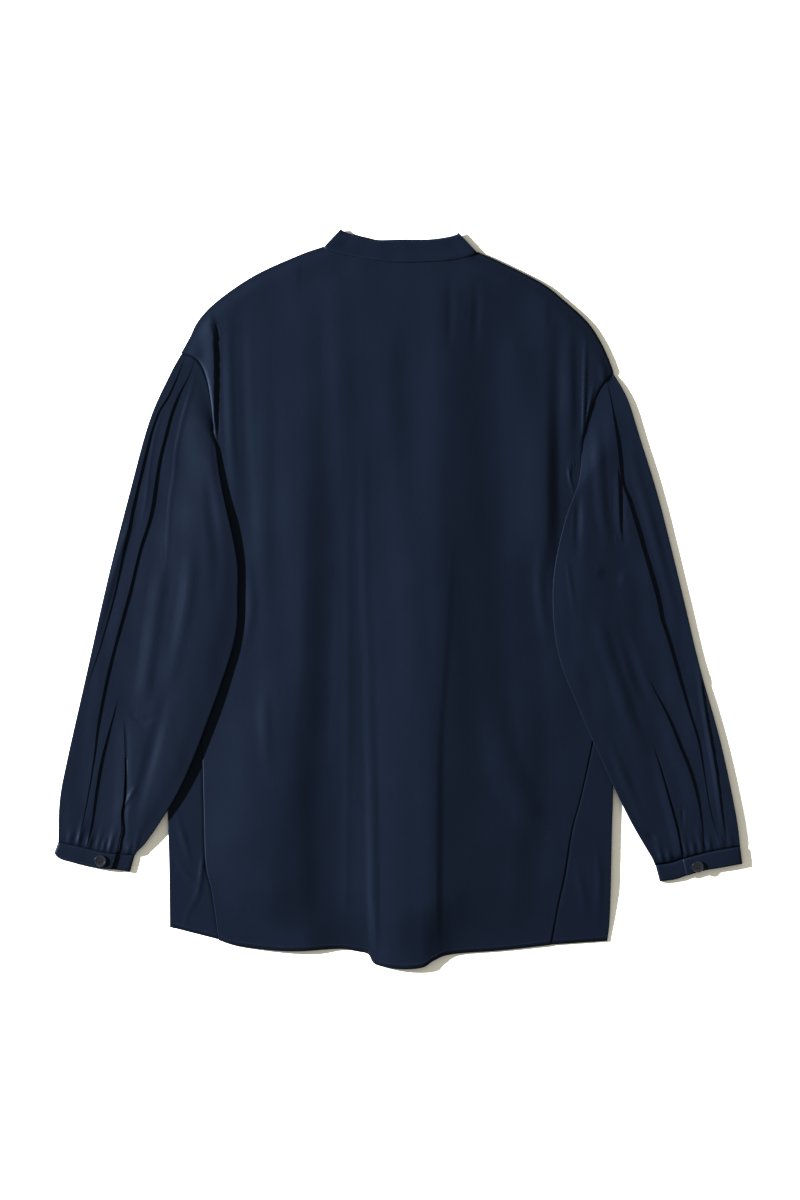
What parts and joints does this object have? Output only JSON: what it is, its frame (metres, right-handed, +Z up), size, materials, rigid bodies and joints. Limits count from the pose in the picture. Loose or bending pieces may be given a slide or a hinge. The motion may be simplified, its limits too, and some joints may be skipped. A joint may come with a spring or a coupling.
{
  "type": "collarless shirt",
  "caption": "Collarless long-sleeved shirt with a narrow band collar, pleated sleeves and buttoned cuffs, laid flat with its back upward.",
  "frame": {"origin": "on the surface that the shirt lies on, under the middle of the whole outline", "axes": "+Y to the collar, +X to the wearer's right, +Z up out of the shirt's back"},
  "size_m": [0.6874, 0.7386, 0.0109],
  "materials": {
    "body_cloth": "crisp navy plain weave with a slight lustre",
    "sleeve_cloth": "crisp navy plain weave with a slight lustre",
    "button": "polished near-black navy"
  },
  "bodies": {
    "root": {"back": "body_cloth", "front_left": "body_cloth", "front_right": "body_cloth", "collar_band": "body_cloth", "sleeve_left": "sleeve_cloth", "sleeve_right": "sleeve_cloth", "cuff_left": "sleeve_cloth", "cuff_right": "sleeve_cloth", "cuff_button_left": "button", "cuff_button_right": "button", "front_button_1": "button", "front_button_2": "button", "front_button_3": "button", "front_button_4": "button", "front_button_5": "button", "front_button_6": "button", "band_button": "button"}
  },
  "joints": []
}
